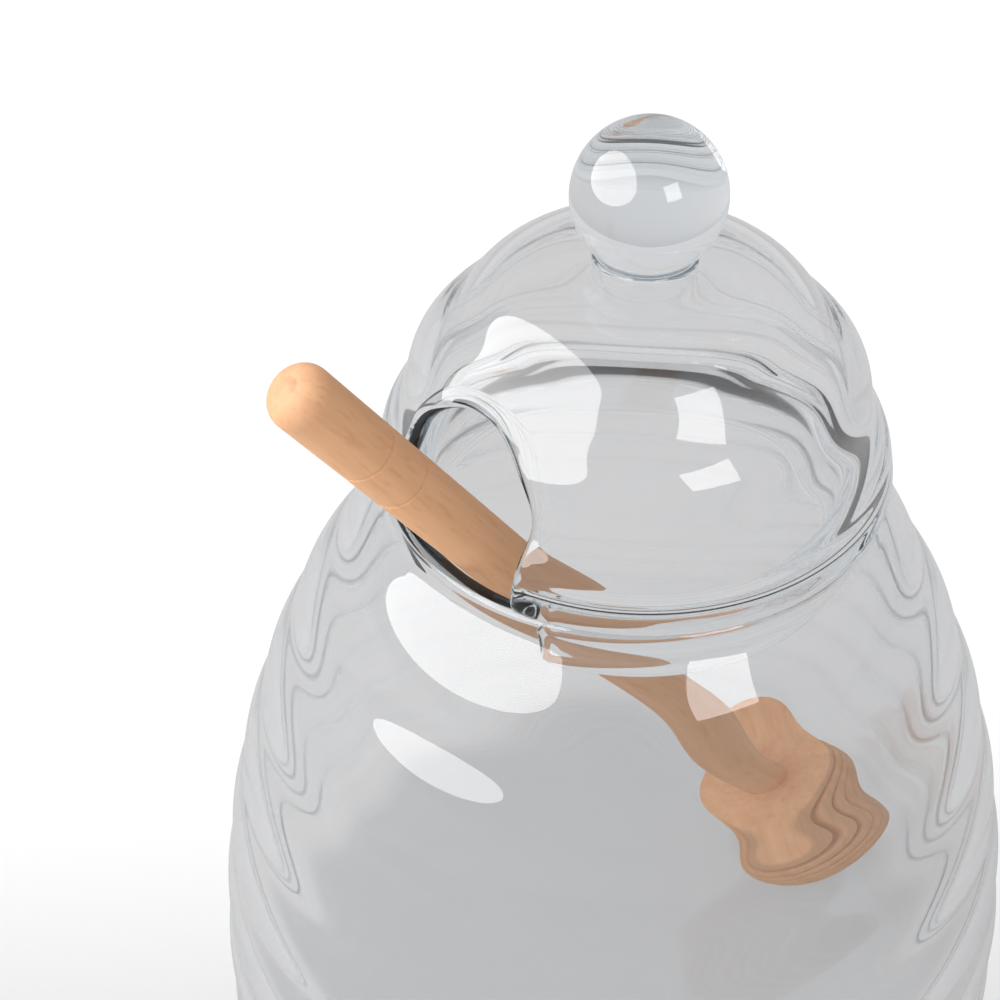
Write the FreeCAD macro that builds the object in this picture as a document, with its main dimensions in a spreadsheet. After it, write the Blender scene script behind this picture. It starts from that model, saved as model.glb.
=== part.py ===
"""Honey pot: a rippled glass jar shaped like a skep, its glass lid and a turned wooden dipper.

Frame: +Z up, millimetres, the origin in the middle of the jar's flat foot. The lid's notch
faces -X, and the dipper leans in through it, over the jar's lip.
"""
import FreeCAD, Part
import math
import os

import Sketcher
from FreeCAD import Placement, Rotation, Vector

SIZES = {
    # jar: a wall of revolution with shallow rings on a skep's outline
    "jar_height": 105.0,
    "body_diameter": 115.4,
    "belly_height": 9.8,
    "jar_close": 127.5,
    "jar_fullness": 2.2,
    "jar_wall": 2.4,
    "floor_thick": 4.0,
    "mouth_radius": 28.95,
    "lip_radius": 1.25,
    "jar_rings": 7,
    "jar_ring_depth": 0.55,
    "top_ring_drop": 8.4,
    # lid: a rippled dome over a skirt that drops into the mouth, with a solid ball on top
    "lid_overhang": 2.35,
    "lid_wall": 2.2,
    "dome_height": 31.8,
    "dome_fullness": 1.3,
    "dome_taper": 0.3,
    "lid_ring_depth": 0.54,
    "lid_ring_first": 7.2,
    "lid_ring_pitch": 11.2,
    "lid_rings": 2,
    "skirt_depth": 9.0,
    "skirt_gap": 0.85,
    "skirt_round": 0.8,
    "seat_gap": 0.1,
    "ball_radius": 8.8,
    "ball_rise": 7.5,
    "ball_fillet": 0.6,
    # notch through the dome and the skirt
    "notch_width": 20.0,
    "notch_height": 20.3,
    # dipper: a turned rod with a grooved head
    "dipper_length": 158.9,
    "handle_diameter": 7.4,
    "handle_round": 2.4,
    "nub_radius": 0.9,
    "nub_height": 0.3,
    "score_first": 14.6,
    "score_pitch": 6.9,
    "score_depth": 0.25,
    "head_diameter": 23.6,
    "head_length": 26.0,
    "head_rings": 6,
    "head_barrel": 0.6,
    "head_end_round": 2.2,
    "groove_width": 1.0,
    "groove_depth": 3.6,
    "ring_ease": 0.7,
    # how the dipper lies in the pot
    "head_wall_gap": 3.0,
    "dipper_heading": -6.0,
    "dipper_shift": 0.4,
    "rest_gap": 0.1,
}
SMOOTH_SPANS = 7
NEARLY_FLAT = 88.0

doc = FreeCAD.newDocument("honey_pot")
sheet = doc.addObject("Spreadsheet::Sheet", "sizes")
for row, (name, number) in enumerate(SIZES.items(), start=1):
    sheet.set(f"A{row}", name)
    sheet.set(f"B{row}", str(number))
    sheet.setAlias(f"B{row}", name)
doc.recompute()


def size(name):
    """The number in the cell with this alias."""
    return float(sheet.get(name))


def new_body(label):
    body = doc.addObject("PartDesign::Body", label)
    body.Label = label
    return body


def new_sketch(body, role, name):
    """A sketch on one of the body's own origin planes."""
    sketch = body.newObject("Sketcher::SketchObject", name)
    plane = next(f for f in body.Origin.OriginFeatures if f.Role == role)
    sketch.AttachmentSupport = [(plane, "")]
    sketch.MapMode = "FlatFace"
    return sketch


def turn(body, sketch, name):
    """A full revolution of the sketch about its upright axis."""
    feature = body.newObject("PartDesign::Revolution", name)
    feature.Profile = sketch
    feature.ReferenceAxis = (sketch, ["V_Axis"])
    feature.Angle = 360.0
    doc.recompute()
    return feature


def bind(feature, prop, formula):
    """Ties a property to the sheet; the formula names cells by their aliases."""
    words = [f"sizes.{word}" if word in SIZES else word for word in formula.split()]
    feature.setExpression(prop, " ".join(words))


def dimension(sketch, name, formula, kind, *where):
    """A named dimension of a sketch, tied to the sheet. It goes on at its present value."""
    index = sketch.addConstraint(Sketcher.Constraint(kind, *where))
    sketch.renameConstraint(index, name)
    bind(sketch, f"Constraints.{name}", formula)


def flat(point):
    return Vector(point[0], point[1], 0)


def line(start, end):
    return Part.LineSegment(flat(start), flat(end))


def on_circle(centre, radius, angle):
    """The point of a circle at an angle in degrees from the sketch's first axis."""
    bearing = math.radians(angle)
    return centre[0] + radius * math.cos(bearing), centre[1] + radius * math.sin(bearing)


def arc(centre, radius, first, last):
    """An arc from one angle, anticlockwise, to another."""
    circle = Part.Circle(flat(centre), Vector(0, 0, 1), radius)
    return Part.ArcOfCircle(circle, math.radians(first), math.radians(last))


def smooth(points, first_way, last_way):
    """One smooth curve through the points, leaving and arriving in the given directions."""
    curve = Part.BSplineCurve()
    curve.interpolate(
        Points=[flat(p) for p in points],
        InitialTangent=flat(first_way),
        FinalTangent=flat(last_way),
    )
    return curve


def draw(sketch, curves):
    """Adds the curves of one closed section to a sketch."""
    edges = Part.sortEdges([c.toShape() for c in curves])
    if len(edges) != 1 or not Part.Wire(edges[0]).isClosed():
        raise RuntimeError(f"{sketch.Label} isn't one closed loop")
    for curve in curves:
        sketch.addGeometry(curve, False)


def skep(radius, low, close, fullness, taper):
    """A skep's outline as a function of the angle up it: upright at 0, closed on top at 90."""

    def point(angle):
        up, across = math.sin(math.radians(angle)), math.cos(math.radians(angle))
        return radius * across ** (2 * taper), low + (close - low) * up ** (2 / fullness)

    return point


def angle_at(outline, height):
    """The angle at which an outline reaches a height, by halving."""
    low, high = 0.0, 90.0
    while high - low > 1e-9:
        middle = (low + high) / 2
        low, high = (middle, high) if outline(middle)[1] < height else (low, middle)
    return low


def outward(outline, angle):
    """The outward square to an outline, level where the outline starts."""
    if angle == 0:
        return 1.0, 0.0
    before, after = outline(max(angle - 0.01, 1e-6)), outline(angle + 0.01)
    across, up = after[0] - before[0], after[1] - before[1]
    length = math.hypot(across, up)
    return up / length, -across / length


def sunk(outline, angle, depth):
    """The point of an outline at an angle, sunk by a depth square to it."""
    across, up = outline(angle)
    square = outward(outline, angle)
    return across - depth * square[0], up - depth * square[1]


def bow(start, middle, end):
    """The arc from one point to another by way of a third."""
    return Part.Arc(flat(start), flat(middle), flat(end))


def ring_points(outline, crest, pitch, depth):
    """The points of a rippled outline, counted in quarters of a ring up from a crest."""

    def point(quarter):
        valley = depth * (1 - math.cos(math.pi / 2 * quarter)) / 2
        return sunk(outline, angle_at(outline, crest + pitch / 4 * quarter), valley)

    return point


def ring_arcs(point, last):
    """Arcs by way of every valley and crest, from a crest to the given odd quarter."""
    arcs = [bow(point(0), point(0.5), point(1))]
    for quarter in range(2, last, 2):
        arcs.append(bow(point(quarter - 1), point(quarter), point(quarter + 1)))
    return arcs


def spread(first, last, count):
    """Evenly spread numbers, both ends among them."""
    return [first + (last - first) * i / count for i in range(count + 1)]


# ---------------------------------------------------------------------------------------- jar
jar_height, lip_radius, mouth_radius = size("jar_height"), size("lip_radius"), size("mouth_radius")
body_radius, belly_height = size("body_diameter") / 2, size("belly_height")
jar_wall, floor_thick = size("jar_wall"), size("floor_thick")

# the taper that brings the outline to the mouth
mouth_rise = (jar_height - belly_height) / (size("jar_close") - belly_height)
jar_taper = math.log((mouth_radius + lip_radius / 2) / body_radius) / math.log(
    1 - mouth_rise ** size("jar_fullness")
)
jar_outline = skep(body_radius, belly_height, size("jar_close"), size("jar_fullness"), jar_taper)
jar_pitch = (jar_height - size("top_ring_drop") - belly_height) / size("jar_rings")
jar_ring = ring_points(jar_outline, belly_height, jar_pitch, size("jar_ring_depth"))
last_quarter = 4 * int(size("jar_rings")) + 1

lip, lip_outside, lip_inside = (mouth_radius, jar_height), -20.0, 190.0
under_lip = bow(
    jar_ring(last_quarter), jar_ring(last_quarter + 1), on_circle(lip, lip_radius, lip_outside)
)
shoulder = angle_at(jar_outline, jar_height - size("top_ring_drop") + jar_pitch / 2)
inner = [sunk(jar_outline, angle, jar_wall) for angle in spread(0.0, shoulder, SMOOTH_SPANS)]
inner.append(on_circle(lip, lip_radius, lip_inside))

foot_radius = body_radius - belly_height
inner_round = belly_height - floor_thick
inner_foot = body_radius - jar_wall - inner_round
jar_section = [
    line((0, 0), (foot_radius, 0)),
    arc((foot_radius, belly_height), belly_height, -90, 0),
    *ring_arcs(jar_ring, last_quarter),
    under_lip,
    arc(lip, lip_radius, lip_outside, lip_inside),
    smooth(inner, (0, 1), on_circle((0, 0), 1, lip_inside - 90)),
    arc((inner_foot, belly_height), inner_round, -90, 0),
    line((inner_foot, floor_thick), (0, floor_thick)),
    line((0, floor_thick), (0, 0)),
]
jar = new_body("jar")
jar_sketch = new_sketch(jar, "XZ_Plane", "jar_section")
draw(jar_sketch, jar_section)
turn(jar, jar_sketch, "jar_wall_turned")

# ---------------------------------------------------------------------------------------- lid
# heights from here on are above the centre of the jar's lip
lid_radius, lid_wall = mouth_radius + size("lid_overhang"), size("lid_wall")
seat = lip_radius + size("seat_gap")
skirt_radius = mouth_radius - lip_radius - size("skirt_gap")
skirt_end, skirt_round = lid_wall / 2, size("skirt_round")
# the skirt's straight part, between the round under the seat and its rounded end
skirt_top, skirt_bottom = seat - skirt_round, skirt_end - size("skirt_depth")
curl = (lid_radius - lid_wall, seat + lid_wall)
dome = skep(
    lid_radius, curl[1], size("dome_height"), size("dome_fullness"), size("dome_taper")
)

ball_radius, ball_fillet = size("ball_radius"), size("ball_fillet")
ball_centre = size("dome_height") + size("ball_rise")
fillet_rise = size("dome_height") + ball_fillet
fillet_reach = math.sqrt((ball_radius + ball_fillet) ** 2 - (ball_centre - fillet_rise) ** 2)
fillet_angle = math.degrees(math.atan2(ball_centre - fillet_rise, -fillet_reach))

first_crest = size("lid_ring_first")
lid_ring = ring_points(dome, first_crest, size("lid_ring_pitch"), size("lid_ring_depth"))
lid_rings = int(size("lid_rings"))
dome_rings = ring_arcs(lid_ring, 4 * lid_rings - 1)
shoulder_way = dome_rings[-1].tangent(dome_rings[-1].LastParameter)[0]
crown = smooth(
    [lid_ring(4 * lid_rings - 1), lid_ring(4 * lid_rings), (fillet_reach, size("dome_height"))],
    shoulder_way,
    (-1, 0),
)

step_round = lid_radius - lid_wall - skirt_radius - skirt_round
step = (skirt_radius + skirt_round, seat + lid_wall + step_round)
dome_inner = [(step[0] + step_round, step[1])]
for angle in spread(0.0, NEARLY_FLAT, SMOOTH_SPANS):
    if dome(angle)[1] > step[1] + lid_wall:
        dome_inner.append(sunk(dome, angle, lid_wall))
dome_inner.append((0, size("dome_height") - lid_wall))

lid_section = [
    arc(curl, lid_wall, -90, 0),
    bow((lid_radius, curl[1]), dome(angle_at(dome, (curl[1] + first_crest) / 2)), lid_ring(0)),
    *dome_rings,
    crown,
    arc((fillet_reach, fillet_rise), ball_fillet, fillet_angle, 270),
    arc((0, ball_centre), ball_radius, fillet_angle - 180, 90),
    line((0, ball_centre + ball_radius), (0, size("dome_height") - lid_wall)),
    smooth(dome_inner, (0, 1), (-1, 0)),
    arc(step, step_round, -90, 0),
    arc((step[0], skirt_top), skirt_round + lid_wall, 90, 180),
    line((skirt_radius - lid_wall, skirt_top), (skirt_radius - lid_wall, skirt_bottom)),
    arc((skirt_radius - skirt_end, skirt_bottom), skirt_end, 180, 360),
    line((skirt_radius, skirt_bottom), (skirt_radius, skirt_top)),
    arc((step[0], skirt_top), skirt_round, 90, 180),
    line((step[0], seat), (curl[0], seat)),
]
lid = new_body("lid")
lid_sketch = new_sketch(lid, "XZ_Plane", "lid_section")
draw(lid_sketch, lid_section)
lid_turned = turn(lid, lid_sketch, "dome_turned")
whole_lid = lid_turned.Shape.Volume

notch_half = size("notch_width") / 2
notch_spring = size("notch_height") - notch_half
notch_foot = -size("skirt_depth") - notch_half
notch_sketch = new_sketch(lid, "YZ_Plane", "notch_outline")
draw(
    notch_sketch,
    [
        line((notch_half, notch_foot), (notch_half, notch_spring)),
        arc((0, notch_spring), notch_half, 0, 180),
        line((-notch_half, notch_spring), (-notch_half, notch_foot)),
        line((-notch_half, notch_foot), (notch_half, notch_foot)),
    ],
)
RIGHT, ARCH, LEFT, FOOT = range(4)
START, END, CENTRE = 1, 2, 3
for one, one_end, other, other_end in (
    (RIGHT, END, ARCH, START),
    (ARCH, END, LEFT, START),
    (LEFT, END, FOOT, START),
    (FOOT, END, RIGHT, START),
):
    notch_sketch.addConstraint(Sketcher.Constraint("Coincident", one, one_end, other, other_end))
notch_sketch.addConstraint(Sketcher.Constraint("Vertical", RIGHT))
notch_sketch.addConstraint(Sketcher.Constraint("Vertical", LEFT))
notch_sketch.addConstraint(Sketcher.Constraint("Horizontal", FOOT))
ORIGIN, UPRIGHT = -1, -2
notch_sketch.addConstraint(Sketcher.Constraint("PointOnObject", ARCH, CENTRE, UPRIGHT))
dimension(notch_sketch, "arch_radius", "notch_width / 2", "Radius", ARCH, notch_half)
dimension(
    notch_sketch,
    "spring_height",
    "notch_height - notch_width / 2",
    "DistanceY",
    ORIGIN,
    START,
    ARCH,
    CENTRE,
    notch_spring,
)
dimension(
    notch_sketch,
    "foot_drop",
    "skirt_depth + notch_width / 2",
    "DistanceY",
    FOOT,
    START,
    ORIGIN,
    START,
    -notch_foot,
)
notch = lid.newObject("PartDesign::Pocket", "notch")
notch.Profile = notch_sketch
notch.Type = "Length"
bind(notch, "Length", "mouth_radius + lid_overhang * 2")
notch.Reversed = False
doc.recompute()
if notch.Shape.Volume >= whole_lid:
    raise RuntimeError("the notch doesn't cut the lid")

bind(lid, "Placement.Base.z", "jar_height")
doc.recompute()

# ------------------------------------------------------------------------------------- dipper
# drawn with the handle's tip at the origin and the head at the far end of the axis
length, handle_radius = size("dipper_length"), size("handle_diameter") / 2
handle_round, nub_radius, nub_height = size("handle_round"), size("nub_radius"), size("nub_height")
score_depth = size("score_depth")
dipper_section = [
    line((0, 0), (nub_radius, 0)),
    line((nub_radius, 0), (nub_radius, nub_height)),
    line((nub_radius, nub_height), (handle_radius - handle_round, nub_height)),
    arc((handle_radius - handle_round, nub_height + handle_round), handle_round, -90, 0),
]
reached = (handle_radius, nub_height + handle_round)


def carry_on(*points):
    """Straight lines on from where the section has got to."""
    global reached
    for point in points:
        dipper_section.append(line(reached, point))
        reached = point


for score in (size("score_first"), size("score_first") + size("score_pitch")):
    carry_on(
        (handle_radius, score - score_depth),
        (handle_radius - score_depth, score),
        (handle_radius, score + score_depth),
    )

head_rings, groove_width = int(size("head_rings")), size("groove_width")
ring_ease, end_round = size("ring_ease"), size("head_end_round")
head_start = length - size("head_length")
head_pitch = (size("head_length") + groove_width) / head_rings
groove_radius = size("head_diameter") / 2 - size("groove_depth")
middle = (head_rings - 1) / 2
carry_on((handle_radius, head_start))
for ring in range(head_rings):
    ring_radius = size("head_diameter") / 2 - size("head_barrel") * ((ring - middle) / middle) ** 2
    near = head_start + ring * head_pitch
    far = near + head_pitch - groove_width
    if ring > 0:
        carry_on((groove_radius, near))
    carry_on((ring_radius - ring_ease, near), (ring_radius, near + ring_ease))
    if ring < head_rings - 1:
        carry_on((ring_radius, far - ring_ease), (ring_radius - ring_ease, far), (groove_radius, far))
carry_on((ring_radius, far - end_round))
dipper_section.append(arc((ring_radius - end_round, far - end_round), end_round, 0, 90))
reached = (ring_radius - end_round, far)
carry_on((0, length), (0, 0))

dipper = new_body("dipper")
dipper_sketch = new_sketch(dipper, "XZ_Plane", "dipper_section")
draw(dipper_sketch, dipper_section)
turn(dipper, dipper_sketch, "dipper_turned")

heading = math.radians(size("dipper_heading"))
ahead = Vector(math.cos(heading), math.sin(heading), 0)
# the handle crosses the lip a little to one side of the notch's middle
bearing = size("dipper_shift") / mouth_radius
on_lip = Vector(-mouth_radius * math.cos(bearing), mouth_radius * math.sin(bearing), jar_height)
lip_way = Vector(math.sin(bearing), math.cos(bearing), 0)
rest_gap = size("rest_gap")


def lie(lean):
    """The dipper's placement with its handle on the lip and its head on the floor, and its reach.

    The lean is below the level. The reach is how far the head gets from the jar's axis.
    """
    inward = ahead * math.cos(lean) - Vector(0, 0, math.sin(lean))
    off_lip = inward.cross(lip_way).normalize()
    rest = on_lip + off_lip * math.copysign(lip_radius + rest_gap + handle_radius, off_lip.z)
    # the end of the head is a disc of this radius with a rounded rim
    disc = ring_radius - end_round
    rim_height = floor_thick + rest_gap + end_round + disc * math.cos(lean)
    inside = (rest.z - rim_height) / math.sin(lean)
    rim = rest + inward * inside + ahead * (disc * math.sin(lean) + end_round)
    tip = rest - inward * (length - end_round - inside)
    return Placement(tip, Rotation(Vector(0, 0, 1), inward)), math.hypot(rim.x, rim.y)


# the lean that brings the head to its gap from the wall, by halving
flatter, steeper = 0.1, math.pi / 2
while steeper - flatter > 1e-9:
    lean = (flatter + steeper) / 2
    too_far = lie(lean)[1] > body_radius - jar_wall - size("head_wall_gap")
    flatter, steeper = (lean, steeper) if too_far else (flatter, lean)
dipper.Placement = lie(lean)[0]
doc.recompute()

# ------------------------------------------------------------------------------------ writing
for thing in doc.Objects:
    if "Invalid" in thing.State or "Error" in thing.State:
        raise RuntimeError(f"{thing.Label} failed")
os.makedirs("parts", exist_ok=True)
for body in (jar, lid, dipper):
    if body.Shape.isNull() or not body.Shape.isValid() or len(body.Shape.Solids) != 1:
        raise RuntimeError(f"{body.Label} isn't one valid solid")
    body.Shape.exportStep(f"parts/{body.Label}.step")
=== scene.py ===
"""The look of the honey pot: clear rippled glass, a glass lid and a beech dipper.

The glass and the dipper are turned again here, finer than the solids and with polished
edges, from the same sizes. Sizes are in millimetres until a mesh is made.
"""
import math

import bmesh
import bpy
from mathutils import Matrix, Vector


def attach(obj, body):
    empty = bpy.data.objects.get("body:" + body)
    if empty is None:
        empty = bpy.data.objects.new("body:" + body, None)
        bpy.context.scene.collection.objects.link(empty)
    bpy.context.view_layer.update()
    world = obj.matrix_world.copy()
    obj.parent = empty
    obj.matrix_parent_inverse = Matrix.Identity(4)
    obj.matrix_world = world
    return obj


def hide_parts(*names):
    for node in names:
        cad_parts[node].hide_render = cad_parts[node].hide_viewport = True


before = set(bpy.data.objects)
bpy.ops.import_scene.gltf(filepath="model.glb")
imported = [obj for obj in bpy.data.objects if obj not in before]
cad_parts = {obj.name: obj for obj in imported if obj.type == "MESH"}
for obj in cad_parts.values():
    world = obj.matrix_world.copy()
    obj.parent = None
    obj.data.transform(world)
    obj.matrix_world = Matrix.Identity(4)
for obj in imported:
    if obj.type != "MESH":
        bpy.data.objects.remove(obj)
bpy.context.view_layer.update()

MM = 0.001

# ------------------------------------------------------------------------------ sizes, in mm
JAR_HEIGHT = 105.0
BODY_RADIUS = 57.7
BELLY_HEIGHT = 9.8
JAR_CLOSE = 127.5
JAR_FULLNESS = 2.2
JAR_WALL = 2.4
FLOOR_THICK = 4.0
MOUTH_RADIUS = 28.95
LIP_RADIUS = 1.25
JAR_RINGS = 7
JAR_RING_DEPTH = 0.55
TOP_RING_DROP = 8.4
# the share of a ring that follows the last crest
JAR_RINGS_PAST = 0.45

LID_RADIUS = MOUTH_RADIUS + 2.35
LID_WALL = 2.2
DOME_HEIGHT = 31.8
DOME_FULLNESS = 1.3
DOME_TAPER = 0.3
# deeper than the solid's, so that the rings show through two walls
LID_RING_DEPTH = 0.85
LID_RING_FIRST = 7.2
LID_RING_PITCH = 11.2
LID_RINGS = 2
# the share of a ring that the last one stops short of
LID_RINGS_SHORT = 0.25
SKIRT_RADIUS = MOUTH_RADIUS - LIP_RADIUS - 0.85
SKIRT_DEPTH = 9.0
SKIRT_ROUND = 0.8
SKIRT_LOW = -SKIRT_DEPTH + LID_WALL / 2
SEAT = LIP_RADIUS + 0.1
BALL_RADIUS = 8.8
BALL_CENTRE = DOME_HEIGHT + 7.5
BALL_FILLET = 0.6
NOTCH_HALF = 10.0
NOTCH_HEIGHT = 20.3

DIPPER_LENGTH = 158.9
HANDLE_RADIUS = 3.7
HANDLE_ROUND = 2.4
NUB_RADIUS = 0.9
NUB_HEIGHT = 0.3
SCORES = (14.6, 21.5)
SCORE_DEPTH = 0.25
HEAD_RADIUS = 11.8
HEAD_LENGTH = 26.0
HEAD_RINGS = 6
HEAD_BARREL = 0.6
HEAD_END_ROUND = 2.2
GROOVE_WIDTH = 1.0
GROOVE_DEPTH = 3.6
RING_EASE = 0.7
DIPPER_OUTSIDE = 39.064
DIPPER_LEAN = math.radians(55.058)
DIPPER_HEADING = math.radians(-6.0)
DIPPER_SHIFT = 0.4
REST_GAP = 0.1

# how much of the rings shows on the inside of the glass
INSIDE_RIPPLE = 0.65

# --------------------------------------------------------------------- how fine the meshes are
AROUND = 168
DIPPER_AROUND = 96
JAR_ROWS = 200
DOME_ROWS = 300
UNDER_ROWS = 200
ARCH_ROWS = 48
TAIL_ROWS = 70
EDGE_STEPS = 12
# the angle up the dome at which its underside starts, beside the pole
ALMOST_FLAT = 88.0
# below this height over the mouth the lid's rows are spaced along its faces, not by height
PAIRED_DOWN_TO = 8.6
# how far over the arch the lid's closed rows end
CLEAR_OF_ARCH = 0.02
# points nearer than this are one, and edges shorter than this go
SAME_POINT = 0.001
NO_LENGTH = 0.0005
# the angle between faces from which an edge of the dipper is sharp
SHARP_EDGE = math.radians(40)


# ---------------------------------------------------------------------------------- outlines
def spread(first, last, count):
    """Evenly spread numbers, both ends among them."""
    return [first + (last - first) * i / count for i in range(count + 1)]


def on_circle(centre, radius, angle):
    bearing = math.radians(angle)
    return centre[0] + radius * math.cos(bearing), centre[1] + radius * math.sin(bearing)


def arc(centre, radius, first, last, count=10):
    return [on_circle(centre, radius, angle) for angle in spread(first, last, count)]


def bridge(start, start_way, end, end_way, count=8):
    """Points of a smooth curve from one point and direction to another, without the ends."""
    reach = math.dist(start, end)
    points = []
    for u in spread(0, 1, count)[1:-1]:
        weights = (
            2 * u**3 - 3 * u**2 + 1,
            (u**3 - 2 * u**2 + u) * reach,
            3 * u**2 - 2 * u**3,
            (u**3 - u**2) * reach,
        )
        ends = (start, start_way, end, end_way)
        points.append(tuple(sum(w * p[i] for w, p in zip(weights, ends)) for i in (0, 1)))
    return points


def way(before, after):
    """The direction from one point to another."""
    reach = math.dist(before, after)
    return (after[0] - before[0]) / reach, (after[1] - before[1]) / reach


def skep(radius, low, close, fullness, taper):
    """A skep's outline as a function of the angle up it: upright at 0, closed on top at 90."""

    def point(angle):
        up, across = math.sin(math.radians(angle)), math.cos(math.radians(angle))
        return radius * across ** (2 * taper), low + (close - low) * up ** (2 / fullness)

    return point


def angle_at(outline, height):
    """The angle at which an outline reaches a height, by halving."""
    low, high = 0.0, 90.0
    while high - low > 1e-7:
        middle = (low + high) / 2
        low, high = (middle, high) if outline(middle)[1] < height else (low, middle)
    return low


def sunk(outline, angle, depth):
    """The point of an outline at an angle, sunk by a depth square to it."""
    if angle == 0:
        return outline(0)[0] - depth, outline(0)[1]
    across, up = way(outline(angle - min(angle, 0.01)), outline(angle + 0.01))
    return outline(angle)[0] - depth * up, outline(angle)[1] + depth * across


def pushed_in(point, outline, angle, depth):
    """A point moved inwards, square to an outline at an angle."""
    across, up = outline(angle)
    sunk_across, sunk_up = sunk(outline, angle, depth)
    return point[0] + sunk_across - across, point[1] + sunk_up - up


def rippled(outline, angle, crest, pitch, depth):
    """The point of an outline whose rings start at a crest."""
    up = outline(angle)[1]
    valley = depth * (1 - math.cos(2 * math.pi * (up - crest) / pitch)) / 2
    return sunk(outline, angle, valley if up > crest else 0.0)


# ------------------------------------------------------------------------------------ meshes
def finish_mesh(name, bm, material):
    """Turns a bmesh in millimetres into a smooth piece that rides on the part's one body."""
    bmesh.ops.scale(bm, vec=(MM, MM, MM), verts=bm.verts)
    bmesh.ops.recalc_face_normals(bm, faces=bm.faces)
    for face in bm.faces:
        face.smooth = True
    mesh = bpy.data.meshes.new(name)
    bm.to_mesh(mesh)
    bm.free()
    mesh.materials.append(material)
    piece = bpy.data.objects.new(name, mesh)
    bpy.context.scene.collection.objects.link(piece)
    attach(piece, "root")
    return piece


def turned(section, around=AROUND):
    """A bmesh turned from a section that starts and ends on the axis."""
    bm = bmesh.new()
    first = bm.verts.new((0, 0, section[0][1]))
    last = bm.verts.new((0, 0, section[-1][1]))
    rings = []
    for across, up in section[1:-1]:
        ring = []
        for bearing in spread(0, 2 * math.pi, around)[:-1]:
            ring.append(bm.verts.new((across * math.cos(bearing), across * math.sin(bearing), up)))
        rings.append(ring)
    for i in range(around):
        j = (i + 1) % around
        bm.faces.new((first, rings[0][i], rings[0][j]))
        bm.faces.new((last, rings[-1][j], rings[-1][i]))
        for low, high in zip(rings, rings[1:]):
            bm.faces.new((low[i], high[i], high[j], low[j]))
    return bm


# --------------------------------------------------------------------------------- materials
def new_material(name):
    material = bpy.data.materials.new(name)
    material.use_nodes = True
    nodes = material.node_tree.nodes
    return material, nodes, material.node_tree.links, nodes["Principled BSDF"]


def add(nodes, kind, **settings):
    """A new node with its inputs set by name."""
    node = nodes.new(kind)
    for name, value in settings.items():
        node.inputs[name.replace("_", " ")].default_value = value
    return node


def colour_mix(nodes, blend="MIX", **settings):
    """A new mix of two colours with its inputs set by name."""
    node = nodes.new("ShaderNodeMix")
    node.data_type = "RGBA"
    node.blend_type = blend
    for name, value in settings.items():
        node.inputs[name].default_value = value
    return node


def mixed_shaders(nodes, links, factor, first, second):
    """Two shaders mixed by a socket or by a plain number."""
    mix = nodes.new("ShaderNodeMixShader")
    if isinstance(factor, float):
        mix.inputs["Fac"].default_value = factor
    else:
        links.new(factor, mix.inputs["Fac"])
    links.new(first, mix.inputs[1])
    links.new(second, mix.inputs[2])
    return mix.outputs["Shader"]


def ranged(nodes, links, factor, low, high):
    """A number that runs from low to high with a factor."""
    node = add(nodes, "ShaderNodeMapRange", To_Min=low, To_Max=high)
    links.new(factor, node.inputs["Value"])
    return node.outputs["Result"]


def two_tones(nodes, links, factor, *stops):
    """A ramp between two stops, each a position and a colour."""
    ramp = nodes.new("ShaderNodeValToRGB")
    for element, (position, colour) in zip(ramp.color_ramp.elements, stops):
        element.position = position
        element.color = (*colour, 1)
    links.new(factor, ramp.inputs["Fac"])
    return ramp.outputs["Color"]


def stretched_noise(nodes, links, place, scale, **settings):
    """Noise with a scale of its own along each axis."""
    stretch = add(nodes, "ShaderNodeMapping", Scale=scale)
    links.new(place, stretch.inputs["Vector"])
    noise = add(nodes, "ShaderNodeTexNoise", Scale=1.0, **settings)
    links.new(stretch.outputs["Vector"], noise.inputs["Vector"])
    return noise.outputs["Fac"]


GLASS_IOR = 1.5
SMEAR_SCALE = 90.0
SMEAR_TONE = 0.985
SMEAR_ROUGHNESS = 0.02
DEPTH_TINT = (0.72, 0.9, 1.0, 1)
DEPTH_DENSITY = 12.0
SHADOW_TINT = (0.85, 0.85, 0.855, 1)


def glass(name):
    """Clear glass, faintly blue in its depth, with a trace of smear in its gloss."""
    material, nodes, links, shader = new_material(name)
    shader.inputs["Transmission Weight"].default_value = 1.0
    shader.inputs["IOR"].default_value = GLASS_IOR
    place = nodes.new("ShaderNodeTexCoord")
    smear = add(nodes, "ShaderNodeTexNoise", Scale=SMEAR_SCALE, Detail=3.0)
    links.new(place.outputs["Object"], smear.inputs["Vector"])
    tint = colour_mix(nodes, A=(1, 1, 1, 1), B=(SMEAR_TONE, SMEAR_TONE, SMEAR_TONE, 1))
    links.new(smear.outputs["Fac"], tint.inputs["Factor"])
    links.new(tint.outputs["Result"], shader.inputs["Base Color"])
    gloss = ranged(nodes, links, smear.outputs["Fac"], 0.0, SMEAR_ROUGHNESS)
    links.new(gloss, shader.inputs["Roughness"])
    depth = add(nodes, "ShaderNodeVolumeAbsorption", Color=DEPTH_TINT, Density=DEPTH_DENSITY)
    links.new(depth.outputs["Volume"], nodes["Material Output"].inputs["Volume"])
    # a lamp shines through the glass, and the glass throws only a light shadow
    passed = add(nodes, "ShaderNodeBsdfTransparent", Color=SHADOW_TINT)
    rays = nodes.new("ShaderNodeLightPath")
    both = shader.outputs["BSDF"], passed.outputs["BSDF"]
    surface = mixed_shaders(nodes, links, rays.outputs["Is Shadow Ray"], *both)
    links.new(surface, nodes["Material Output"].inputs["Surface"])
    return material


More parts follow.
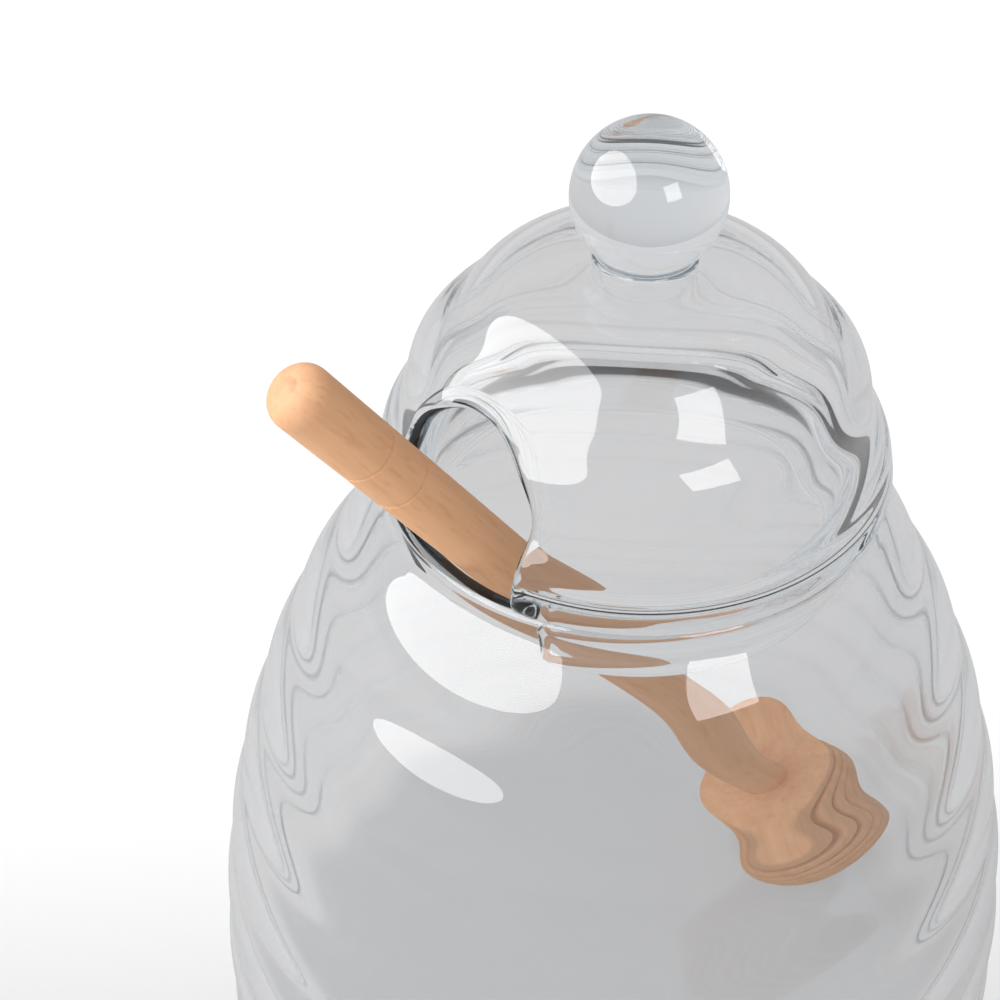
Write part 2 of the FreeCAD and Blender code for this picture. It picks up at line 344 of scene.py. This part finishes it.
GRAIN_STRETCH = (420.0, 420.0, 26.0)
GRAIN_DARK = (0.3, (0.66, 0.35, 0.185))
GRAIN_PALE = (0.72, (0.77, 0.445, 0.25))
FLECK_STRETCH = (1500.0, 1500.0, 260.0)
FLECK_DARK = (0.3, (0.80, 0.70, 0.60))
FLECK_NONE = (0.44, (1, 1, 1))
FLECK_SHARE = 0.35
WOOD_GLOSS = 0.2
WOOD_ROUGHNESS = (0.5, 0.68)
GRAIN_STRENGTH = 0.25
GRAIN_RELIEF = 0.0002


def beech():
    """Pale beech: long soft grain and short darker flecks."""
    material, nodes, links, shader = new_material("dipper_beech")
    place = nodes.new("ShaderNodeTexCoord").outputs["Object"]
    grain = stretched_noise(nodes, links, place, GRAIN_STRETCH, Detail=6.0, Roughness=0.6)
    tone = two_tones(nodes, links, grain, GRAIN_DARK, GRAIN_PALE)
    fleck = stretched_noise(nodes, links, place, FLECK_STRETCH, Detail=2.0)
    dots = two_tones(nodes, links, fleck, FLECK_DARK, FLECK_NONE)
    mixed = colour_mix(nodes, blend="MULTIPLY", Factor=FLECK_SHARE)
    links.new(tone, mixed.inputs["A"])
    links.new(dots, mixed.inputs["B"])
    links.new(mixed.outputs["Result"], shader.inputs["Base Color"])
    shader.inputs["Specular IOR Level"].default_value = WOOD_GLOSS
    links.new(ranged(nodes, links, grain, *WOOD_ROUGHNESS), shader.inputs["Roughness"])
    bump = add(nodes, "ShaderNodeBump", Strength=GRAIN_STRENGTH, Distance=GRAIN_RELIEF)
    links.new(grain, bump.inputs["Height"])
    links.new(bump.outputs["Normal"], shader.inputs["Normal"])
    return material


# --------------------------------------------------------------------------------------- jar
def jar_section():
    """The jar's section, from the foot's middle up the outside and down the inside."""
    rise = (JAR_HEIGHT - BELLY_HEIGHT) / (JAR_CLOSE - BELLY_HEIGHT)
    taper = math.log((MOUTH_RADIUS + LIP_RADIUS / 2) / BODY_RADIUS) / math.log(
        1 - rise**JAR_FULLNESS
    )
    outline = skep(BODY_RADIUS, BELLY_HEIGHT, JAR_CLOSE, JAR_FULLNESS, taper)
    pitch = (JAR_HEIGHT - TOP_RING_DROP - BELLY_HEIGHT) / JAR_RINGS
    top = angle_at(outline, JAR_HEIGHT - TOP_RING_DROP + pitch * JAR_RINGS_PAST)
    outer, inner = [], []
    for angle in spread(0, top, JAR_ROWS):
        outer.append(rippled(outline, angle, BELLY_HEIGHT, pitch, JAR_RING_DEPTH))
        ring = rippled(outline, angle, BELLY_HEIGHT, pitch, JAR_RING_DEPTH * INSIDE_RIPPLE)
        inner.append(pushed_in(ring, outline, angle, JAR_WALL))
    lip_centre, lip_outside, lip_inside = (MOUTH_RADIUS, JAR_HEIGHT), -20, 190
    lip = arc(lip_centre, LIP_RADIUS, lip_outside, lip_inside, count=24)
    foot = BODY_RADIUS - BELLY_HEIGHT
    inner_round = BELLY_HEIGHT - FLOOR_THICK
    inner_foot = BODY_RADIUS - JAR_WALL - inner_round
    return [
        (0, 0),
        *[(r, 0) for r in spread(0, foot, 24)[1:-1]],
        *arc((foot, BELLY_HEIGHT), BELLY_HEIGHT, -90, 0, 24)[:-1],
        *outer,
        *bridge(outer[-1], way(*outer[-2:]), lip[0], on_circle((0, 0), 1, lip_outside + 90), 14),
        *lip,
        *bridge(lip[-1], on_circle((0, 0), 1, lip_inside + 90), inner[-1], way(*inner[:-3:-1]), 14),
        *inner[::-1],
        *arc((inner_foot, BELLY_HEIGHT), inner_round, 0, -90, 20)[1:],
        *[(r, FLOOR_THICK) for r in spread(inner_foot, 0, 24)[1:-1]],
        (0, FLOOR_THICK),
    ]


# --------------------------------------------------------------------------------------- lid
EDGE_ROUND = LID_WALL / 2
ARCH_SPRING = NOTCH_HEIGHT - NOTCH_HALF
# the cut before the polished edge fills it in to the notch's own width
CUT_HALF = NOTCH_HALF + EDGE_ROUND
CUT_TOP = ARCH_SPRING + CUT_HALF


def even(points, count):
    """The same line with its points evenly spaced."""
    lengths = [0.0]
    for before, after in zip(points, points[1:]):
        lengths.append(lengths[-1] + math.dist(before, after))
    spaced, i = [], 0
    for target in spread(0, lengths[-1], count):
        while i < len(points) - 2 and lengths[i + 1] < target:
            i += 1
        u = (target - lengths[i]) / (lengths[i + 1] - lengths[i])
        spaced.append(tuple(a + (b - a) * u for a, b in zip(points[i], points[i + 1])))
    return spaced


def at_height(line, height):
    """The point of a falling line at a height."""
    for before, after in zip(line, line[1:]):
        if after[1] <= height:
            u = (before[1] - height) / (before[1] - after[1])
            return before[0] + (after[0] - before[0]) * u, height
    return line[-1]


def lid_lines():
    """The lid's outside and inside, each from the pole on top to the skirt's end."""
    curl = (LID_RADIUS - LID_WALL, SEAT + LID_WALL)
    dome = skep(LID_RADIUS, curl[1], DOME_HEIGHT, DOME_FULLNESS, DOME_TAPER)
    step_round = LID_RADIUS - LID_WALL - SKIRT_RADIUS - SKIRT_ROUND
    step = (SKIRT_RADIUS + SKIRT_ROUND, SEAT + LID_WALL + step_round)
    fillet_rise = DOME_HEIGHT + BALL_FILLET
    reach = math.sqrt((BALL_RADIUS + BALL_FILLET) ** 2 - (BALL_CENTRE - fillet_rise) ** 2)
    lean = math.degrees(math.atan2(BALL_CENTRE - fillet_rise, -reach))
    crown = angle_at(dome, LID_RING_FIRST + LID_RING_PITCH * (LID_RINGS - LID_RINGS_SHORT))
    ripples = [
        rippled(dome, angle, LID_RING_FIRST, LID_RING_PITCH, LID_RING_DEPTH)
        for angle in spread(crown, 0, DOME_ROWS)
    ]
    outside = [
        *arc((0, BALL_CENTRE), BALL_RADIUS, 90, lean - 180, 60),
        *arc((reach, fillet_rise), BALL_FILLET, lean, 270, 10)[1:],
        *bridge((reach, DOME_HEIGHT), (1, 0), ripples[0], way(*ripples[:2]), 40),
        *ripples,
        *arc(curl, LID_WALL, 0, -90, 16)[1:],
        *arc((step[0], SEAT - SKIRT_ROUND), SKIRT_ROUND, 90, 180, 10),
        (SKIRT_RADIUS, SKIRT_LOW),
    ]
    steep = angle_at(dome, step[1] + LID_WALL)
    depth = LID_RING_DEPTH * INSIDE_RIPPLE
    under = []
    for angle in spread(ALMOST_FLAT, steep, UNDER_ROWS):
        ring = rippled(dome, angle, LID_RING_FIRST, LID_RING_PITCH, depth)
        under.append(pushed_in(ring, dome, angle, LID_WALL))
    inside = [
        (0, DOME_HEIGHT - LID_WALL),
        *bridge((0, DOME_HEIGHT - LID_WALL), (1, 0), under[0], way(*under[:2]), 12),
        *under,
        *bridge(under[-1], way(*under[-2:]), (step[0] + step_round, step[1]), (0, -1), 8),
        *arc(step, step_round, 0, -90, 10),
        *arc((step[0], SEAT - SKIRT_ROUND), SKIRT_ROUND + LID_WALL, 90, 180, 14),
        (SKIRT_RADIUS - LID_WALL, SKIRT_LOW),
    ]
    return outside, inside


def lid_rows():
    """The points of the lid's rows: outside above the notch, inside above it, and pairs below."""
    outside, inside = lid_lines()
    arch = [ARCH_SPRING + CUT_HALF * math.cos(a) for a in spread(0, math.pi / 2, ARCH_ROWS)]
    upright = spread(ARCH_SPRING, PAIRED_DOWN_TO, 8)[1:]
    pairs = [(at_height(outside, up), at_height(inside, up)) for up in arch + upright]
    tails = []
    for line, pair in zip((outside, inside), zip(*pairs)):
        past_dome = next(i for i, p in enumerate(line) if p[1] < PAIRED_DOWN_TO)
        tails.append(even([pair[-1], *line[past_dome:]], TAIL_ROWS)[1:])
    pairs += list(zip(*tails))
    low = (SKIRT_RADIUS - LID_WALL / 2, SKIRT_LOW)
    for angle in spread(0, 90, 8)[1:]:
        pairs.append([on_circle(low, LID_WALL / 2, bearing) for bearing in (-angle, 180 + angle)])
    above = [[p for p in line if p[1] > CUT_TOP + CLEAR_OF_ARCH] for line in (outside, inside)]
    return (*above, pairs)


def cut_half(up):
    """Half the width of the lid's gap at a height, before the polished edge closes it in."""
    if up >= CUT_TOP:
        return 0.0
    return math.sqrt(CUT_HALF**2 - max(0.0, up - ARCH_SPRING) ** 2)


def lid_mesh():
    """The lid as rows of points round the wall that stop short at the notch.

    A half round of points closes the wall there, as a fire-polished edge does.
    """
    bm = bmesh.new()

    def row(point):
        across, up = point
        start = math.asin(cut_half(up) / across)
        verts = []
        for bearing in spread(math.pi + start, 3 * math.pi - start, AROUND):
            place = (across * math.cos(bearing), across * math.sin(bearing), up + JAR_HEIGHT)
            verts.append(bm.verts.new(place))
        return verts

    def skin(rows):
        for upper, lower in zip(rows, rows[1:]):
            for i in range(AROUND):
                bm.faces.new((upper[i], lower[i], lower[i + 1], upper[i + 1]))

    above_outside, above_inside, pairs = lid_rows()
    for above, k in ((above_outside, 0), (above_inside, 1)):
        pole = bm.verts.new((0, 0, above[0][1] + JAR_HEIGHT))
        rows = [row(point) for point in above[1:]]
        for i in range(AROUND):
            bm.faces.new((pole, rows[0][i], rows[0][i + 1]))
        below = [row(pair[k]) for pair in pairs]
        skin(rows + below)
        if k == 0:
            below_outside = below
    edges = list(zip(below_outside, below))
    for side in (0, -1):
        strips = []
        for outside, inside in edges:
            one, other = outside[side].co, inside[side].co
            middle, wall = (one + other) / 2, (one - other) / 2
            into = Vector((0, -middle.y, min(0.0, ARCH_SPRING + JAR_HEIGHT - middle.z)))
            strip = [outside[side]]
            for angle in spread(0, math.pi, EDGE_STEPS)[1:-1]:
                bulge = into.normalized() * EDGE_ROUND * math.sin(angle)
                strip.append(bm.verts.new(middle + wall * math.cos(angle) + bulge))
            strips.append([*strip, inside[side]])
        for one, other in zip(strips, strips[1:]):
            for i in range(len(one) - 1):
                bm.faces.new((one[i], one[i + 1], other[i + 1], other[i]))
    bmesh.ops.remove_doubles(bm, verts=bm.verts, dist=SAME_POINT)
    bmesh.ops.dissolve_degenerate(bm, edges=bm.edges, dist=NO_LENGTH)
    return bm


# ------------------------------------------------------------------------------------ dipper
def dipper_section():
    """The dipper's section from the handle's tip, at 0, to the head's end."""
    flat = HANDLE_RADIUS - HANDLE_ROUND
    section = [
        # the nub that the lathe leaves on the tip
        (0, 0),
        (NUB_RADIUS * 0.6, 0.02),
        (NUB_RADIUS, NUB_HEIGHT * 0.7),
        (NUB_RADIUS * 1.2, NUB_HEIGHT),
        (flat, NUB_HEIGHT),
        *arc((flat, NUB_HEIGHT + HANDLE_ROUND), HANDLE_ROUND, -90, 0, count=16)[1:],
    ]
    for score in SCORES:
        section += [
            (HANDLE_RADIUS, score - SCORE_DEPTH),
            (HANDLE_RADIUS - SCORE_DEPTH, score),
            (HANDLE_RADIUS, score + SCORE_DEPTH),
        ]
    start = DIPPER_LENGTH - HEAD_LENGTH
    pitch = (HEAD_LENGTH + GROOVE_WIDTH) / HEAD_RINGS
    floor = HEAD_RADIUS - GROOVE_DEPTH
    middle = (HEAD_RINGS - 1) / 2
    section.append((HANDLE_RADIUS, start))
    for ring in range(HEAD_RINGS):
        radius = HEAD_RADIUS - HEAD_BARREL * ((ring - middle) / middle) ** 2
        near = start + ring * pitch
        far = near + pitch - GROOVE_WIDTH
        last = ring == HEAD_RINGS - 1
        ease = HEAD_END_ROUND if last else RING_EASE
        if ring:
            section.append((floor, near))
        section += arc((radius - RING_EASE, near + RING_EASE), RING_EASE, -90, 0, 6)
        section += arc((radius - ease, far - ease), ease, 0, 90, 12 if last else 6)
        if not last:
            section.append((floor, far))
    section.append((0, DIPPER_LENGTH))
    return section


def dipper_place():
    """Where the dipper lies: on the lip, in the notch, leaning in."""
    inward = Vector(
        (
            math.cos(DIPPER_LEAN) * math.cos(DIPPER_HEADING),
            math.cos(DIPPER_LEAN) * math.sin(DIPPER_HEADING),
            -math.sin(DIPPER_LEAN),
        )
    )
    bearing = DIPPER_SHIFT / MOUTH_RADIUS
    lip_way = Vector((math.sin(bearing), math.cos(bearing), 0))
    off_lip = inward.cross(lip_way).normalized()
    if off_lip.z < 0:
        off_lip = -off_lip
    across, along = -MOUTH_RADIUS * math.cos(bearing), MOUTH_RADIUS * math.sin(bearing)
    on_lip = Vector((across, along, JAR_HEIGHT))
    rest = on_lip + off_lip * (LIP_RADIUS + REST_GAP + HANDLE_RADIUS)
    turn = Vector((0, 0, 1)).rotation_difference(inward)
    return (rest - inward * DIPPER_OUTSIDE) * MM, turn


jar = finish_mesh("jar_glass", turned(jar_section()), glass("jar_glass"))
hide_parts("jar")
lid = finish_mesh("lid_glass", lid_mesh(), glass("lid_glass"))
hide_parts("lid")
dipper = finish_mesh("dipper_turned", turned(dipper_section(), DIPPER_AROUND), beech())
dipper.data.set_sharp_from_angle(angle=SHARP_EDGE)
place, turn = dipper_place()
dipper.rotation_mode = "QUATERNION"
dipper.location, dipper.rotation_quaternion = place, turn
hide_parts("dipper")


# ------------------------------------------------------------------------------------- stage
FLOOR_HALF = 1.6
# a hair below the foot, so that the two faces stay apart
FLOOR_DROP = -0.0002
PAPER_TONE = (0.72, 0.72, 0.72, 1)
# what the lens sees, from a painted pale grey shade near to white far, in metres from the pot along its
# look
GREY_FROM, PAINTED_NEAR_SHADE = -0.09, 0.52
WHITE_FROM, FAR_TONE = 0.07, 1.14
# the share of the lit paper in it, which carries the shadow
SHADOW_SHARE = 0.25
# what the glass shows of the paper
THROUGH_GLASS_SHARE = 0.6
THROUGH_GLASS_TONE = (0.53, 0.525, 0.53, 1)


def floor_material(look):
    """Matt paper: what the lens sees glows from a painted pale grey shade near the lens to white behind.
    """
    material, nodes, links, shader = new_material("floor_paper")
    shader.inputs["Base Color"].default_value = PAPER_TONE
    shader.inputs["Roughness"].default_value = 0.9
    place = nodes.new("ShaderNodeNewGeometry")
    away = nodes.new("ShaderNodeVectorMath")
    away.operation = "DOT_PRODUCT"
    away.inputs[1].default_value = look
    links.new(place.outputs["Position"], away.inputs[0])
    fade = add(nodes, "ShaderNodeMapRange", From_Min=GREY_FROM, From_Max=WHITE_FROM)
    fade.interpolation_type = "SMOOTHSTEP"
    links.new(away.outputs["Value"], fade.inputs["Value"])
    near, far = ((tone, tone, tone, 1) for tone in (PAINTED_NEAR_SHADE, FAR_TONE))
    tone = colour_mix(nodes, A=near, B=far)
    links.new(fade.outputs["Result"], tone.inputs["Factor"])
    # the paper glows in these tones, with painted shade near the lens; the lit share below carries the
    # real shadow
    shown = nodes.new("ShaderNodeEmission")
    links.new(tone.outputs["Result"], shown.inputs["Color"])
    both = shown.outputs["Emission"], shader.outputs["BSDF"]
    lit = mixed_shaders(nodes, links, SHADOW_SHARE, *both)
    rays = nodes.new("ShaderNodeLightPath")
    behind_glass = nodes.new("ShaderNodeMath")
    behind_glass.operation = "MAXIMUM"
    links.new(rays.outputs["Is Transmission Ray"], behind_glass.inputs[0])
    links.new(rays.outputs["Is Glossy Ray"], behind_glass.inputs[1])
    share = nodes.new("ShaderNodeMath")
    share.operation = "MULTIPLY"
    share.inputs[1].default_value = THROUGH_GLASS_SHARE
    links.new(behind_glass.outputs["Value"], share.inputs[0])
    pale = add(nodes, "ShaderNodeEmission", Color=THROUGH_GLASS_TONE)
    both = shader.outputs["BSDF"], pale.outputs["Emission"]
    seen_through = mixed_shaders(nodes, links, share.outputs["Value"], *both)
    surface = mixed_shaders(nodes, links, rays.outputs["Is Camera Ray"], seen_through, lit)
    links.new(surface, nodes["Material Output"].inputs["Surface"])
    return material


# the level way that the lens looks, and its place from the middle of the mouth, in metres
LOOK = Vector((0.6508, 0.7593, 0.0))
side = Vector((LOOK.y, -LOOK.x, 0))
PITCH = math.radians(40.67)
CAMERA_BACK = 0.17096
CAMERA_LEFT = 0.0163
CAMERA_ABOVE_MOUTH = 0.1423
SENSOR_WIDTH = 36
FOCAL_LENGTH = 64.8
NEAREST_SEEN = 0.01

floor_mesh = bpy.data.meshes.new("floor")
signs = ((-1, -1), (1, -1), (1, 1), (-1, 1))
corners = [(x * FLOOR_HALF, y * FLOOR_HALF, FLOOR_DROP) for x, y in signs]
floor_mesh.from_pydata(corners, [], [(0, 1, 2, 3)])
floor_mesh.materials.append(floor_material(LOOK))
floor = bpy.data.objects.new("floor", floor_mesh)
bpy.context.scene.collection.objects.link(floor)

POT_MIDDLE = Vector((0, 0, 0.09))
# enough for the gleam on the nearest face, and no more
GLEAM_BOUNCES = 1


def soft_box(name, shape, bearing, height, distance, width, tall, power, lights_matt=True):
    """A lamp that faces the pot, at a bearing and height in degrees from the way the lens looks."""
    light = bpy.data.lights.new(name, "AREA")
    light.shape = shape
    light.size, light.size_y = width, tall
    light.energy = power
    turn, lift = math.radians(bearing), math.radians(height)
    level = LOOK * math.cos(turn) + side * math.sin(turn)
    towards = level * math.cos(lift) + Vector((0, 0, math.sin(lift)))
    lamp = bpy.data.objects.new(name, light)
    lamp.location = POT_MIDDLE + towards * distance
    lamp.rotation_euler = towards.to_track_quat("Z", "Y").to_euler()
    lamp.visible_diffuse = lights_matt
    lamp.visible_transmission = False
    if not lights_matt:
        light.cycles.max_bounces = GLEAM_BOUNCES
    bpy.context.scene.collection.objects.link(lamp)


# each lamp has a twin just in front of it that lights no matt surface and only adds gloss
LEFT_OVAL = ("ELLIPSE", -104, 34)
RIGHT_WINDOW = ("RECTANGLE", 146, 33)
soft_box("left_oval", *LEFT_OVAL, distance=1.0, width=1.7, tall=1.15, power=13)
soft_box("left_gleam", *LEFT_OVAL, distance=0.97, width=1.65, tall=1.12, power=17, lights_matt=False)
soft_box("right_window", *RIGHT_WINDOW, distance=1.1, width=0.42, tall=0.42, power=1.0)
soft_box("right_gleam", *RIGHT_WINDOW, distance=1.07, width=0.41, tall=0.41, power=2.6, lights_matt=False)

WORLD_TONE = (0.68, 0.675, 0.68, 1)
world = bpy.data.worlds.new("studio")
bpy.context.scene.world = world
world.use_nodes = True
sky = world.node_tree.nodes["Background"]
sky.inputs["Color"].default_value = WORLD_TONE
sky.inputs["Strength"].default_value = 1.0

camera_data = bpy.data.cameras.new("camera")
camera_data.sensor_width = SENSOR_WIDTH
camera_data.lens = FOCAL_LENGTH
camera_data.clip_start = NEAREST_SEEN
camera = bpy.data.objects.new("camera", camera_data)
camera_height = Vector((0, 0, JAR_HEIGHT * MM + CAMERA_ABOVE_MOUTH))
camera.location = camera_height - LOOK * CAMERA_BACK - side * CAMERA_LEFT
camera.rotation_euler = (math.pi / 2 - PITCH, 0, -math.atan2(LOOK.x, LOOK.y))
bpy.context.scene.collection.objects.link(camera)
bpy.context.scene.camera = camera
bpy.context.scene.view_settings.view_transform = "Standard"
# light runs a long way round inside the glass before it leaves
BOUNCES = 16
CLEAR_BOUNCES = 24
cycles = bpy.context.scene.cycles
cycles.max_bounces = BOUNCES
cycles.transmission_bounces = BOUNCES
cycles.glossy_bounces = BOUNCES
cycles.transparent_max_bounces = CLEAR_BOUNCES
